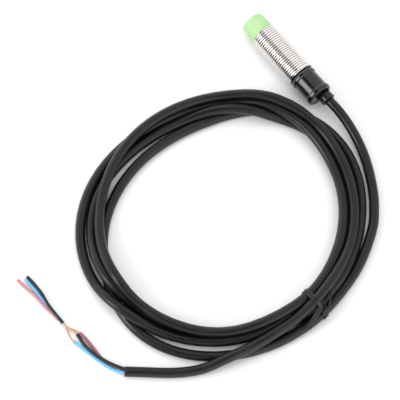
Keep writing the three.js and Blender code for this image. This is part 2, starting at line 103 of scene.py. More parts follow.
# Each turn of the coil in cable diameters outside the ring's inner line, from the lead's
# end at turn 0 to where the tail leaves in the fifth turn.
LANES = [
    (0.0, 2.95), (0.03, 2.55), (0.06, 2.05), (0.10, 1.88), (0.15, 1.92), (0.20, 2.2),
    (0.26, 2.53), (0.31, 2.5), (0.345, 1.98), (0.38, 1.15), (0.415, 0.45), (0.45, 0.1),
    (0.51, -0.15), (0.59, 0.1), (0.66, 0.07), (0.72, 0.07), (0.77, 0.42), (0.80, 0.9),
    (0.83, 1.52), (0.86, 1.86), (0.91, 2.06), (0.96, 1.9), (1.03, 1.72), (1.08, 1.45),
    (1.11, 1.15), (1.14, 0.78), (1.18, 0.45), (1.24, 0.2), (1.31, 0.25), (1.37, 0.5),
    (1.42, 0.87), (1.46, 1.12), (1.51, 1.5), (1.56, 1.5), (1.63, 1.35), (1.69, 0.9),
    (1.74, 0.35), (1.79, 0.2), (1.83, 0.42), (1.87, 0.6), (1.95, 0.65), (2.01, 0.55),
    (2.06, 0.36), (2.105, 0.34), (2.145, 0.55), (2.18, 0.8), (2.23, 0.9), (2.28, 0.95),
    (2.34, 1.42), (2.39, 1.87), (2.44, 2.2), (2.50, 2.42), (2.56, 2.5), (2.61, 2.32),
    (2.65, 1.95), (2.70, 1.6), (2.75, 1.12), (2.79, 0.62), (2.83, 0.28), (2.87, -0.12),
    (2.93, 0.02), (3.0, 0.2), (3.06, 0.25), (3.13, 0.2), (3.19, 0.28), (3.25, 0.33),
    (3.33, 0.15), (3.42, 0.2), (3.47, 0.38), (3.51, 0.85), (3.55, 1.55), (3.59, 2.15),
    (3.635, 2.4), (3.68, 2.25), (3.73, 1.85), (3.79, 1.15), (3.85, 0.97), (3.91, 0.85),
    (3.97, 1.12), (4.02, 1.05), (4.07, 0.85), (4.12, 0.95), (4.16, 1.18), (4.20, 1.83),
    (4.23, 2.85),
]
LAST_TURN = 4.23
SAMPLES_PER_TURN = 72

TAIL = [
    (-80.0, 108.4, 2.05), (-78.4, 112.0, 2.05), (-76.4, 115.5, 2.05), (-74.2, 118.8, 2.05),
    (-71.7, 122.1, 2.05), (-68.8, 125.5, 2.05), (-64.9, 129.9, 2.05), (-60.5, 134.95, 2.05),
]


def ring_radius(angle):
    return (47.5 - 3.2 * math.cos(2 * angle) - 1.3 * math.cos(3 * angle)
            + 0.4 * math.sin(3 * angle))


def ring_point(turn, lane):
    angle = RING_START - 2 * math.pi * turn
    radius = ring_radius(angle) + lane * CABLE_D
    return RING_CENTRE + radius * np.array([math.cos(angle), math.sin(angle)])


def eased(keys, at):
    """A smooth curve through (position, value) keys, read at each of the positions in at."""
    x = np.array([k[0] for k in keys])
    y = np.array([k[1] for k in keys])
    slope = np.gradient(y, x)
    i = np.clip(np.searchsorted(x, at) - 1, 0, len(x) - 2)
    h = x[i + 1] - x[i]
    t = (at - x[i]) / h
    a = 2 * t**3 - 3 * t**2 + 1
    b = t**3 - 2 * t**2 + t
    c = -2 * t**3 + 3 * t**2
    d = t**3 - t**2
    return a * y[i] + b * h * slope[i] + c * y[i + 1] + d * h * slope[i + 1]


def evenly(points, step):
    """The same line with its points a fixed distance apart."""
    points = np.asarray(points, float)
    run = np.concatenate([[0], np.cumsum(np.linalg.norm(np.diff(points, axis=0), axis=1))])
    count = max(2, int(round(run[-1] / step)) + 1)
    at = np.linspace(0, run[-1], count)
    return np.stack([np.interp(at, run, points[:, k]) for k in range(3)], axis=1)


def spline(points, per_span=12):
    """A Catmull-Rom curve through the points, centripetal so that it keeps close to them."""
    p = np.asarray(points, float)
    p = np.vstack([2 * p[0] - p[1], p, 2 * p[-1] - p[-2]])
    out = []
    for i in range(1, len(p) - 2):
        p0, p1, p2, p3 = p[i - 1], p[i], p[i + 1], p[i + 2]
        t0 = 0.0
        t1 = t0 + np.linalg.norm(p1 - p0) ** 0.5
        t2 = t1 + np.linalg.norm(p2 - p1) ** 0.5
        t3 = t2 + np.linalg.norm(p3 - p2) ** 0.5
        for t in np.linspace(t1, t2, per_span, endpoint=False):
            a1 = (t1 - t) / (t1 - t0) * p0 + (t - t0) / (t1 - t0) * p1
            a2 = (t2 - t) / (t2 - t1) * p1 + (t - t1) / (t2 - t1) * p2
            a3 = (t3 - t) / (t3 - t2) * p2 + (t - t2) / (t3 - t2) * p3
            b1 = (t2 - t) / (t2 - t0) * a1 + (t - t0) / (t2 - t0) * a2
            b2 = (t3 - t) / (t3 - t1) * a2 + (t - t1) / (t3 - t1) * a3
            out.append((t2 - t) / (t2 - t1) * b1 + (t - t1) / (t2 - t1) * b2)
    out.append(p[-2])
    return np.array(out)


def smoothed(values, passes):
    out = values.copy()
    for _ in range(passes):
        out[1:-1] += 0.5 * (0.5 * (out[:-2] + out[2:]) - out[1:-1])
    return out


SETTLE_STEP = 2.5                  # distance between the samples of the cable's middle
NEAR_SAMPLES = 5                   # neighbours this close along the cable never push apart
PINNED = 5                         # samples held still at each end
SETTLE_ROUNDS = 260
LAST_ROUNDS = 40                   # the rounds at the end in which nothing pulls any more
PULL = 0.25                        # how fast a turn goes back to its lane
SAG = 0.03
STIFFNESS = 0.6
LAST_STIFFNESS = 0.15
PUSH = 0.45
LEAD_SAMPLES = 40
LEAD_DROP_X = [-60, -48, -23.5]    # where the lead reaches the floor, and where it leaves it
LEAD_DROP_KEPT = [0, 1, 1]
TIE_REACH = 11.0                   # how far from the tie the bundle is lifted


def settled_cable():
    """The cable laid down in order: each turn rests on the floor or on the turns before it."""
    turns = np.arange(0, LAST_TURN + 1e-4, 1 / SAMPLES_PER_TURN)
    lanes = smoothed(eased(LANES, turns), 3)
    coil = np.array([[*ring_point(t, l), CABLE_R] for t, l in zip(turns, lanes)])
    line = np.vstack([spline(LEAD, 6), coil[1:], spline(TAIL, 6)])
    line[:, :2] = smoothed(line[:, :2], 3)
    line = evenly(line, SETTLE_STEP)
    count = len(line)
    tie = np.array(ring_point(TIE_TURN, 1.0))
    floor = CABLE_R + TIE_LIFT * np.exp(
        -(np.linalg.norm(line[:, :2] - tie, axis=1) / TIE_REACH) ** 4)
    along = np.arange(count)
    apart = np.abs(along[:, None] - along[None, :])
    # The drop to the floor is kept where the lead comes down from the bush.
    coming_down = np.interp(line[:, 0], LEAD_DROP_X, LEAD_DROP_KEPT) * (along < LEAD_SAMPLES)
    base = np.where(coming_down > 0, line[:, 2], floor)
    line[:, 2] = base
    for i in range(count):
        before = line[: max(0, i - NEAR_SAMPLES)]
        if len(before) == 0:
            continue
        d2 = np.sum((before[:, :2] - line[i, :2]) ** 2, axis=1)
        under = d2 < CABLE_D**2
        if under.any():
            rest = before[under, 2] + np.sqrt(CABLE_D**2 - d2[under])
            line[i, 2] = max(line[i, 2], rest.max())
    goal = line[:, :2].copy()
    line[:, 2] = np.maximum(base, smoothed(line[:, 2], 2))
    pairs = np.argwhere(np.triu(apart > NEAR_SAMPLES, 1))
    first, second = pairs[:, 0], pairs[:, 1]
    for round_number in range(SETTLE_ROUNDS):
        last = round_number > SETTLE_ROUNDS - LAST_ROUNDS
        pull = 0.0 if last else PULL
        line[PINNED:-PINNED, :2] += pull * (goal - line[:, :2])[PINNED:-PINNED]
        if not last:
            line[PINNED:-PINNED, 2] -= SAG
        bend = line.copy()
        bend[1:-1] += 0.5 * (0.5 * (bend[:-2] + bend[2:]) - bend[1:-1])
        stiff = LAST_STIFFNESS if last else STIFFNESS
        line[PINNED:-PINNED, 2] += stiff * (bend - line)[PINNED:-PINNED, 2]
        offset = smoothed(line[:, :2] - goal, 2)
        line[PINNED:-PINNED, :2] = (goal + offset)[PINNED:-PINNED]
        gap = line[second] - line[first]
        length = np.linalg.norm(gap, axis=1)
        close = length < CABLE_D
        f, s, g, l = first[close], second[close], gap[close], length[close]
        push = (0.5 * (CABLE_D - l) / np.maximum(l, 1e-6))[:, None] * g * PUSH
        move = np.zeros_like(line)
        hits = np.zeros(count)
        np.add.at(move, s, push)
        np.add.at(move, f, -push)
        np.add.at(hits, s, 1)
        np.add.at(hits, f, 1)
        hits = np.maximum(hits * 0.5, 1)
        line[PINNED:-PINNED] += (move / hits[:, None])[PINNED:-PINNED]
        line[:, 2] = np.maximum(line[:, 2], base)
    line[:, 2] = np.maximum(smoothed(line[:, 2], 1), base)
    return line


# ---- mesh helpers --------------------------------------------------------------------

def new_object(name, mesh, material):
    obj = bpy.data.objects.new(name, mesh)
    scene.collection.objects.link(obj)
    if material is not None:
        mesh.materials.append(material)
    return obj


def mesh_from(name, verts, faces, material):
    mesh = bpy.data.meshes.new(name)
    mesh.from_pydata([tuple(np.asarray(v) * MM) for v in verts], [], faces)
    mesh.polygons.foreach_set("use_smooth", [True] * len(mesh.polygons))
    mesh.update()
    return new_object(name, mesh, material)


def frames_along(points):
    """Two cross axes at each point that turn as little as possible along the line."""
    tangents = np.gradient(points, axis=0)
    tangents /= np.linalg.norm(tangents, axis=1)[:, None]
    side = np.cross(tangents[0], [0, 0, 1])
    if np.linalg.norm(side) < 1e-3:
        side = np.cross(tangents[0], [0, 1, 0])
    side /= np.linalg.norm(side)
    sides = [side]
    for t in tangents[1:]:
        side = sides[-1] - np.dot(sides[-1], t) * t
        side /= np.linalg.norm(side)
        sides.append(side)
    sides = np.array(sides)
    return tangents, sides, np.cross(tangents, sides)


def tube(name, points, radius, sides, material, end_round=0.15):
    """A swept round tube with slightly rounded ends and UVs of length and angle."""
    points = np.asarray(points, float)
    tangents, a, b = frames_along(points)
    keep = np.linalg.norm(points - points[0], axis=1) > end_round * 2
    keep &= np.linalg.norm(points - points[-1], axis=1) > end_round * 2
    between = np.nonzero(keep)[0]
    index = [0, 0, *between, len(points) - 1, len(points) - 1]
    rings = np.array([
        points[0], points[0] + tangents[0] * end_round, *points[between],
        points[-1] - tangents[-1] * end_round, points[-1],
    ])
    ring_radii = np.full(len(rings), float(radius))
    ring_radii[[0, -1]] -= end_round
    run = np.concatenate([[0], np.cumsum(np.linalg.norm(np.diff(rings, axis=0), axis=1))])
    verts = []
    for centre, r, i in zip(rings, ring_radii, index):
        for k in range(sides):
            angle = 2 * math.pi * k / sides
            verts.append(centre + r * (math.cos(angle) * a[i] + math.sin(angle) * b[i]))
    faces = []
    for i in range(len(rings) - 1):
        for k in range(sides):
            n = (k + 1) % sides
            faces.append((i * sides + k, i * sides + n, (i + 1) * sides + n,
                          (i + 1) * sides + k))
    start_cap = tuple(range(sides - 1, -1, -1))
    end_cap = tuple(range((len(rings) - 1) * sides, len(rings) * sides))
    faces = [tuple(reversed(f)) for f in faces]
    faces += [tuple(reversed(start_cap)), tuple(reversed(end_cap))]
    obj = mesh_from(name, verts, faces, material)
    uv = obj.data.uv_layers.new(name="run")
    for poly in obj.data.polygons:
        for loop in poly.loop_indices:
            vertex = obj.data.loops[loop].vertex_index
            ring, k = divmod(vertex, sides)
            turn = k / sides
            if turn < 0.01 and any(
                    obj.data.loops[m].vertex_index % sides == sides - 1
                    for m in poly.loop_indices) and len(poly.loop_indices) == 4:
                turn = 1.0
            uv.data[loop].uv = (run[ring] * MM, turn * 2 * math.pi * radius * MM)
    recalc_normals(obj)
    return obj


def recalc_normals(obj):
    bm = bmesh.new()
    bm.from_mesh(obj.data)
    bmesh.ops.recalc_face_normals(bm, faces=bm.faces)
    bm.to_mesh(obj.data)
    bm.free()


def filleted(profile, radii, steps=4):
    """The closed profile with each corner rounded to its radius."""
    out = []
    count = len(profile)
    for i in range(count):
        p = np.array(profile[i], float)
        r = radii[i]
        if r <= 0:
            out.append(tuple(p))
            continue
        before = np.array(profile[i - 1], float) - p
        after = np.array(profile[(i + 1) % count], float) - p
        lb, la = np.linalg.norm(before), np.linalg.norm(after)
        before, after = before / lb, after / la
        half = 0.5 * math.acos(max(-1, min(1, float(np.dot(before, after)))))
        reach = min(r / math.tan(half), 0.48 * lb, 0.48 * la)
        r = reach * math.tan(half)
        middle = before + after
        middle /= np.linalg.norm(middle)
        centre = p + middle * (r / math.sin(half))
        start, end = p + before * reach - centre, p + after * reach - centre
        for k in range(steps + 1):
            t = k / steps
            blend = start * (1 - t) + end * t
            blend *= r / np.linalg.norm(blend)
            out.append(tuple(centre + blend))
    return out


def lathe(name, profile, material, sides, y=0.0):
    """A closed (x, radius) profile turned about the sensor's axis, or about a line beside it."""
    verts, faces = [], []
    count = len(profile)
    for k in range(sides):
        angle = 2 * math.pi * k / sides
        for x, r in profile:
            verts.append((x, y + r * math.sin(angle), AXIS_Z + r * math.cos(angle)))
    for k in range(sides):
        n = (k + 1) % sides
        for i in range(count):
            j = (i + 1) % count
            faces.append((k * count + i, k * count + j, n * count + j, n * count + i))
    obj = mesh_from(name, verts, faces, material)
    bm = bmesh.new()
    bm.from_mesh(obj.data)
    bmesh.ops.remove_doubles(bm, verts=bm.verts, dist=1e-7)
    bmesh.ops.recalc_face_normals(bm, faces=bm.faces)
    bm.to_mesh(obj.data)
    bm.free()
    obj.data.polygons.foreach_set("use_smooth", [True] * len(obj.data.polygons))
    weighted(obj)
    return obj


def weighted(obj):
    modifier = obj.modifiers.new("weighted_normals", "WEIGHTED_NORMAL")
    modifier.weight = 50
    modifier.keep_sharp = True


# ---- materials -----------------------------------------------------------------------

class Nodes:
    """A small helper that builds a node material on a Principled shader."""

    def __init__(self, name):
        self.material = bpy.data.materials.new(name)
        self.material.use_nodes = True
        self.tree = self.material.node_tree
        self.tree.nodes.clear()
        self.output = self.tree.nodes.new("ShaderNodeOutputMaterial")
        self.shader = self.tree.nodes.new("ShaderNodeBsdfPrincipled")
        self.link(self.shader.outputs[0], self.output.inputs["Surface"])
        self.coords = self.tree.nodes.new("ShaderNodeTexCoord")
        self.last_bump = None

    def link(self, a, b):
        self.tree.links.new(a, b)

    def set(self, **sockets):
        for key, value in sockets.items():
            self.shader.inputs[key.replace("_", " ")].default_value = value
        return self

    def run(self, scale, rotation=(0, 0, 0)):
        """Places along and round a swept piece, from its UVs."""
        mapping = self.tree.nodes.new("ShaderNodeMapping")
        mapping.inputs["Scale"].default_value = scale
        mapping.inputs["Rotation"].default_value = rotation
        self.link(self.coords.outputs["UV"], mapping.inputs["Vector"])
        return mapping.outputs[0]

    def noise(self, scale, detail=4.0, roughness=0.55, vector=None):
        node = self.tree.nodes.new("ShaderNodeTexNoise")
        node.inputs["Scale"].default_value = scale
        node.inputs["Detail"].default_value = detail
        node.inputs["Roughness"].default_value = roughness
        self.link(vector or self.coords.outputs["Object"], node.inputs["Vector"])
        return node.outputs["Fac"]

    def wave(self, scale, vector):
        node = self.tree.nodes.new("ShaderNodeTexWave")
        node.inputs["Scale"].default_value = scale
        self.link(vector, node.inputs["Vector"])
        return node.outputs["Fac"]

    def spread(self, value, low, high, from_low=0.3, from_high=0.7):
        node = self.tree.nodes.new("ShaderNodeMapRange")
        node.inputs["From Min"].default_value = from_low
        node.inputs["From Max"].default_value = from_high
        node.inputs["To Min"].default_value = low
        node.inputs["To Max"].default_value = high
        self.link(value, node.inputs["Value"])
        return node.outputs[0]

    def mix(self, factor, a, b):
        node = self.tree.nodes.new("ShaderNodeMix")
        node.data_type = "RGBA"
        for value, socket in ((a, node.inputs[6]), (b, node.inputs[7])):
            if isinstance(value, tuple):
                socket.default_value = (*value, 1)
            else:
                self.link(value, socket)
        self.link(factor, node.inputs[0])
        return node.outputs[2]

    def colour(self, value):
        self.link(value, self.shader.inputs["Base Color"])
        return self

    def rough(self, value):
        self.link(value, self.shader.inputs["Roughness"])
        return self

    def bump(self, height, strength, distance):
        node = self.tree.nodes.new("ShaderNodeBump")
        node.inputs["Strength"].default_value = strength
        node.inputs["Distance"].default_value = distance
        self.link(height, node.inputs["Height"])
        if self.last_bump is not None:
            self.link(self.last_bump, node.inputs["Normal"])
        self.last_bump = node.outputs[0]
        self.link(self.last_bump, self.shader.inputs["Normal"])
        return self


def scaled(colour, factor):
    return tuple(min(1.0, c * factor) for c in colour)


def moulded(name, colour, rough, spread=0.08, grain=0.15, variation=0.12, specular=0.5):
    """Moulded plastic with a faint grain, cloudy gloss and a slightly uneven colour."""
    n = Nodes(name)
    cloud = n.noise(220, 3)
    fine = n.noise(2600, 4)
    n.colour(n.mix(cloud, scaled(colour, 1 - variation), scaled(colour, 1 + variation)))
    n.rough(n.spread(cloud, rough - spread, rough + spread))
    n.bump(fine, grain, 0.00004)
    n.set(IOR=1.5, Specular_IOR_Level=specular)
    return n


def jacket_material(name, colour, rough):
    """Extruded PVC: fine lines along the cable, cloudy gloss and dusty lighter marks."""
    n = Nodes(name)
    along = n.run((120, 2600, 1))
    lines = n.noise(1.0, 3, 0.6, along)
    cloud = n.noise(150, 4)
    scuff = n.noise(700, 6, 0.7)
    dust = n.spread(scuff, 0.0, 1.0, 0.56, 0.78)
    base = n.mix(cloud, scaled(colour, 0.85), scaled(colour, 1.2))
    n.colour(n.mix(dust, base, scaled(colour, 1.9)))
    n.rough(n.spread(cloud, rough - 0.06, rough + 0.08))
    n.bump(lines, 0.25, 0.00006)
    n.bump(n.noise(3200, 4), 0.18, 0.00003)
    n.set(IOR=1.5, Specular_IOR_Level=0.42)
    return n.material


def core_material(name, colour, rough=0.38):
    n = Nodes(name)
    along = n.run((200, 3000, 1))
    lines = n.noise(1.0, 3, 0.6, along)
    cloud = n.noise(300, 3)
    n.colour(n.mix(cloud, scaled(colour, 0.88), scaled(colour, 1.1)))
    n.rough(n.spread(cloud, rough - 0.07, rough + 0.08))
    n.bump(lines, 0.2, 0.00003)
    n.set(IOR=1.5)
    return n.material


def nickel_material():
    """Bright nickel plate, its colour darker down in the thread's grooves as painted shade."""
    n = Nodes("nickel_plate")
    cloud = n.noise(260, 4)
    fine = n.noise(4200, 3)
    across = n.tree.nodes.new("ShaderNodeVectorMath")
    across.operation = "MULTIPLY_ADD"
    across.inputs[1].default_value = (0, 1, 1)
    across.inputs[2].default_value = (0, 0, -AXIS_Z * MM)
    n.link(n.coords.outputs["Object"], across.inputs[0])
    radius = n.tree.nodes.new("ShaderNodeVectorMath")
    radius.operation = "LENGTH"
    n.link(across.outputs[0], radius.inputs[0])
    height = n.spread(radius.outputs["Value"], 0.0, 1.0, THREAD_ROOT_R * MM, THREAD_R * MM)
    # Painted shade: the colour darkens towards the thread's root radius, in place of the shade
    # that falls down in the grooves.
    plate = n.mix(cloud, (0.84, 0.80, 0.785), (0.92, 0.885, 0.865))
    n.colour(n.mix(n.spread(height, 0.0, 1.0, 0.05, 0.45), (0.42, 0.37, 0.35), plate))
    n.rough(n.spread(cloud, 0.06, 0.12))
    n.bump(fine, 0.05, 0.00001)
    n.set(Metallic=1.0)
    return n.material


def copper_material():
    n = Nodes("bright_copper")
    lay = n.wave(1.0, n.run((900, 2600, 1), rotation=(0, 0, 0.35)))
    cloud = n.noise(500, 3)
    n.colour(n.mix(cloud, (0.68, 0.38, 0.28), (0.85, 0.53, 0.41)))
    n.rough(n.spread(cloud, 0.22, 0.36))
    n.bump(lay, 0.6, 0.0001)
    n.set(Metallic=1.0)
    return n.material


JACKET = jacket_material("jacket_pvc", (0.0065, 0.0065, 0.007), 0.32)
CAP = moulded("cap_plastic", (0.42, 0.66, 0.32), 0.5, 0.05, 0.2, 0.05).material
HOUSING = moulded("housing_plastic", (0.01, 0.01, 0.0105), 0.17, 0.04, 0.08, 0.1, 0.6).material
BUSH = moulded("bush_plastic", (0.01, 0.01, 0.0105), 0.22, 0.05, 0.1, 0.1).material
LENS = moulded("smoked_lens", (0.22, 0.22, 0.24), 0.12, 0.04).material
TIE = moulded("tie_plastic", (0.009, 0.009, 0.0095), 0.34, 0.06, 0.2, 0.15).material
NICKEL = nickel_material()
COPPER = copper_material()
CORES = {
    "blue": core_material("core_blue", (0.15, 0.46, 0.80)),
    "black": core_material("core_black", (0.009, 0.009, 0.01)),
    "brown": core_material("core_brown", (0.34, 0.11, 0.135)),
}
SLEEVES = {
    "blue": CORES["blue"],
    "black": CORES["black"],
    "brown": core_material("sleeve_pink", (0.55, 0.235, 0.25)),
}


# ---- the cable and its wires ---------------------------------------------------------

cable_route = spline(settled_cable(), 2)
cable = tube("cable_jacket", cable_route, CABLE_R, 24, JACKET)
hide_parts("cable_lead", "cable_coil", "cable_tail")

WIRES = {
    "blue": [
        (-61.0, 134.95, 1.7), (-60.3, 135.45, 1.55), (-58.0, 136.95, 1.05), (-55.1, 138.25, 0.75),
        (-50.5, 139.65, 0.7), (-45.6, 140.85, 0.7), (-40.8, 141.9, 0.7), (-37.3, 142.6, 0.65),
        (-34.8, 142.4, 0.45), (-32.6, 141.8, 0.55), (-31.3, 141.4, 0.9), (-30.0, 141.25, 1.4),
        (-27.0, 141.25, 1.9), (-24.0, 141.25, 1.75), (-19.5, 141.35, 1.3), (-15.0, 141.45, 0.75),
        (-10.3, 141.45, 0.7), (-4.9, 141.4, 0.7),
    ],
    "black": [
        (-60.4, 134.0, 2.5), (-59.4, 134.6, 2.6), (-56.2, 136.4, 2.35), (-52.3, 138.1, 2.1),
        (-47.8, 139.6, 1.85), (-44.4, 140.1, 1.65), (-42.2, 140.15, 1.15), (-40.1, 140.1, 0.8),
        (-36.2, 139.8, 0.8), (-34.4, 140.2, 1.25), (-32.4, 140.8, 1.6), (-31.2, 141.2, 2.1),
        (-30.0, 141.5, 2.75), (-27.0, 141.6, 3.2), (-24.2, 141.55, 3.05), (-19.4, 141.25, 2.6),
        (-14.0, 140.25, 1.35), (-8.9, 140.15, 1.15), (-4.85, 140.4, 1.5),
    ],
    "brown": [
        (-60.4, 134.1, 1.2), (-59.4, 134.5, 1.1), (-56.1, 136.0, 0.85), (-52.8, 137.5, 0.7),
        (-50.2, 138.35, 0.7), (-47.1, 138.35, 0.7), (-43.2, 138.25, 0.7), (-39.3, 138.25, 0.7),
        (-36.4, 138.6, 0.7), (-34.4, 139.5, 0.85), (-32.4, 140.45, 0.75), (-31.0, 141.0, 0.5),
        (-29.5, 141.3, 0.45), (-27.6, 141.5, 0.6), (-24.0, 141.9, 0.7), (-19.5, 142.45, 0.7),
        (-15.5, 142.75, 0.7), (-11.9, 143.0, 0.7), (-8.0, 143.6, 0.7), (-3.3, 144.15, 0.7),
    ],
}
# Where along each wire the insulation stops and the pushed-off sleeve starts.
BARE = {"blue": (-37.3, -30.0), "black": (-36.2, -30.0), "brown": (-36.3, -27.4)}
CORE_R = 0.65
COPPER_R = 0.3

for colour, points in WIRES.items():
    route = evenly(spline(points, 10), 0.4)
    stop, start = BARE[colour]
    conductor = tube(f"conductor_{colour}_strand", route, COPPER_R, 12, COPPER, end_round=0.05)
    insulation = tube(f"wire_{colour}_insulation", route[route[:, 0] <= stop], CORE_R, 16,
                      CORES[colour], end_round=0.08)
    sleeve = tube(f"sleeve_{colour}_tube", route[route[:, 0] >= start], CORE_R, 16,
                  SLEEVES[colour], end_round=0.08)
    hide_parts(f"conductor_{colour}")
    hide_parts(f"wire_{colour}")
    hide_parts(f"sleeve_{colour}")
    for piece in (conductor, insulation, sleeve):
        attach(piece, "root")

# The twist tie round the bundle.
TIE_ANGLE = RING_START - 2 * math.pi * TIE_TURN
TIE_OUT = np.array([math.cos(TIE_ANGLE), math.sin(TIE_ANGLE), 0])
TIE_UP = np.array([0, 0, 1.0])
TIE_ALONG = np.cross(TIE_OUT, TIE_UP)


def strands_at_tie():
    """Where the cable's middle crosses the tie's plane, as (outwards, up) from the ring."""
    origin = np.array([*ring_point(TIE_TURN, 0), 0])
    rel = cable_route - origin
    along = rel @ TIE_ALONG
    out = rel @ TIE_OUT
    hits = []
    for i in range(len(rel) - 1):
        if along[i] * along[i + 1] <= 0 and abs(out[i]) < 20:
            t = along[i] / (along[i] - along[i + 1])
            point = rel[i] * (1 - t) + rel[i + 1] * t
            hits.append((float(point @ TIE_OUT), float(point[2])))
    return hits


def hull_round(centres, radius, steps=120):
    """The taut line round several equal circles."""
    points = []
    for k in range(steps):
        angle = 2 * math.pi * k / steps
        d = np.array([math.cos(angle), math.sin(angle)])
        best = max(centres, key=lambda c: np.dot(d, c))
        points.append(np.array(best) + radius * d)
    return np.array(points)


def ribbon(name, points, normals, width, thick, material):
    """A flat strap swept along a line, with a bead along each edge and one in the middle."""
    points = np.asarray(points, float)
    normals = np.asarray(normals, float)
    tangents = np.gradient(points, axis=0)
    tangents /= np.linalg.norm(tangents, axis=1)[:, None]
    half, bead = width / 2, thick * 0.45
    section = [
        (-half, -thick / 2), (-half, thick / 2 + bead * 0.4), (-half * 0.82, thick / 2 + bead),
        (-half * 0.5, thick / 2), (-half * 0.12, thick / 2 + bead * 0.9),
        (half * 0.12, thick / 2 + bead * 0.9), (half * 0.5, thick / 2),
        (half * 0.82, thick / 2 + bead), (half, thick / 2 + bead * 0.4), (half, -thick / 2),
    ]
    count = len(section)
    verts, faces = [], []
    for p, n, t in zip(points, normals, tangents):
        n = n - np.dot(n, t) * t
        n /= np.linalg.norm(n)
        w = np.cross(t, n)
        for u, v in section:
            verts.append(p + w * u + n * v)
    for i in range(len(points) - 1):
        for k in range(count):
            m = (k + 1) % count
            faces.append((i * count + k, i * count + m, (i + 1) * count + m, (i + 1) * count + k))
    faces.append(tuple(range(count)))
    faces.append(tuple((len(points) - 1) * count + k for k in reversed(range(count))))
    obj = mesh_from(name, verts, faces, material)
    recalc_normals(obj)
    sub = obj.modifiers.new("subdivision", "SUBSURF")
    sub.levels = sub.render_levels = 1
    return obj


TIE_WIDTH = 1.1                    # of each of the two bands
TIE_THICK = 0.35
TIE_PLAY = 0.05                    # between the bands and the bundle
BAND_SPREAD = 0.62                 # how far each band lies from the tie's middle
KNOT_PINCH = 0.35                  # how much nearer they come at the knot
PINCH_SPAN = 0.05
centres = strands_at_tie()
loop = hull_round(centres, CABLE_R + TIE_THICK / 2 + TIE_PLAY)
tie_origin = np.array([*ring_point(TIE_TURN, 0), 0])
tie_parts = []
# Places on the tie are how far outwards, how far up and how far along the bundle.
KNOT = np.array([9.4, 5.9])


def tie_point(out, up, along=0.0):
    return tie_origin + TIE_OUT * out + TIE_UP * up + TIE_ALONG * along


for side in (-1, 1):
    start = int(np.argmin(np.linalg.norm(loop - KNOT, axis=1)))
    order = [(start + k) % len(loop) for k in range(len(loop) + 1)]
    middle = np.mean(centres, axis=0)
    line, normal = [], []
    for step, k in enumerate(order):
        t = step / len(loop)
        at_knot = math.exp(-(min(t, 1 - t) / PINCH_SPAN) ** 2)
        offset = side * (BAND_SPREAD - KNOT_PINCH * at_knot)
        line.append(tie_point(loop[k][0], loop[k][1], offset))
        n2 = loop[k] - middle
        n2 /= np.linalg.norm(n2)
        normal.append(TIE_OUT * n2[0] + TIE_UP * n2[1])
    line = smoothed(np.array(line), 2)
    tie_parts.append(ribbon(f"tie_band_{'near' if side < 0 else 'far'}", line, normal,
                            TIE_WIDTH, TIE_THICK, TIE))


def wound(centre, radius, turns, lean, start=0.0, steps=16):
    """A small open winding of wire about a place on the tie."""
    points = []
    for k in range(int(turns * steps) + 1):
        angle = start + 2 * math.pi * k / steps
        out = centre[0] + radius * math.cos(angle) * 0.75
        up = centre[1] + radius * math.sin(angle) * 0.55
        along = centre[2] + radius * math.sin(angle + lean) + 0.3 * k / steps
        points.append(tie_point(out, up, along))
    return points


WIRE_R = 0.38
THIN_TAIL_R = 0.36
WIDE_TAIL_WIDTH = 2.3
WIDE_TAIL_THICK = 0.4
knot_line = spline(wound((9.4, 6.3, -0.2), 0.95, 1.6, 0.9), 4)
tie_parts.append(tube("tie_knot", knot_line, WIRE_R, 12, TIE))
twist_line = spline(wound((8.8, 6.7, -1.0), 0.8, 1.3, 2.2, 1.0), 4)
tie_parts.append(tube("tie_knot_twist", twist_line, WIRE_R, 12, TIE))
tail_line = spline([
    tie_point(7.6, 7.3, 0.3), tie_point(7.7, 6.9, 1.9), tie_point(8.0, 6.4, 3.6),
    tie_point(8.4, 5.9, 5.4), tie_point(8.8, 5.3, 7.4), tie_point(9.3, 4.8, 9.2),
], 10)
tie_parts.append(ribbon("tie_tail_wide", tail_line,
                        [TIE_UP * 0.9 + TIE_OUT * 0.4] * len(tail_line),
                        WIDE_TAIL_WIDTH, WIDE_TAIL_THICK, TIE))
# The thin tail is one wire bent back on itself.
thin_line = spline([
    tie_point(9.6, 6.5, -0.6), tie_point(9.3, 7.0, -2.2), tie_point(8.2, 7.6, -3.8),
    tie_point(6.9, 8.1, -5.7), tie_point(6.1, 8.3, -7.0), tie_point(5.6, 8.1, -6.8),
    tie_point(6.0, 7.8, -5.2), tie_point(6.9, 7.5, -3.2), tie_point(7.9, 7.2, -1.2),
], 8)
tie_parts.append(tube("tie_tail_thin", thin_line, THIN_TAIL_R, 12, TIE))
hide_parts("twist_tie")
for part in tie_parts:
    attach(part, "root")

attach(cable, "root")

# ---- the sensor ----------------------------------------------------------------------

X_FACE = 24.05
X_BARREL = 16.05
X_HOUSING = -8.05
X_REAR = -20.35
CAP_R = 5.2
CAP_ROUND = 1.4


def ride_on(obj, *nodes, slot=None):
    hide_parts(*nodes)
    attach(obj, "root")
    return obj


cap_profile = filleted(
    [(X_BARREL + 0.05, 3.8), (X_BARREL + 0.05, CAP_R), (X_FACE, CAP_R), (X_FACE, 0.001),
     (X_FACE - 1.25, 0.001), (X_FACE - 1.25, 3.8)],
    [0, 0.15, CAP_ROUND, 0, 0, 0.3], 6)
ride_on(lathe("sensing_cap_shell", cap_profile, CAP, 128), "sensing_cap", slot="cap_plastic")

THREAD_SIDES = 120
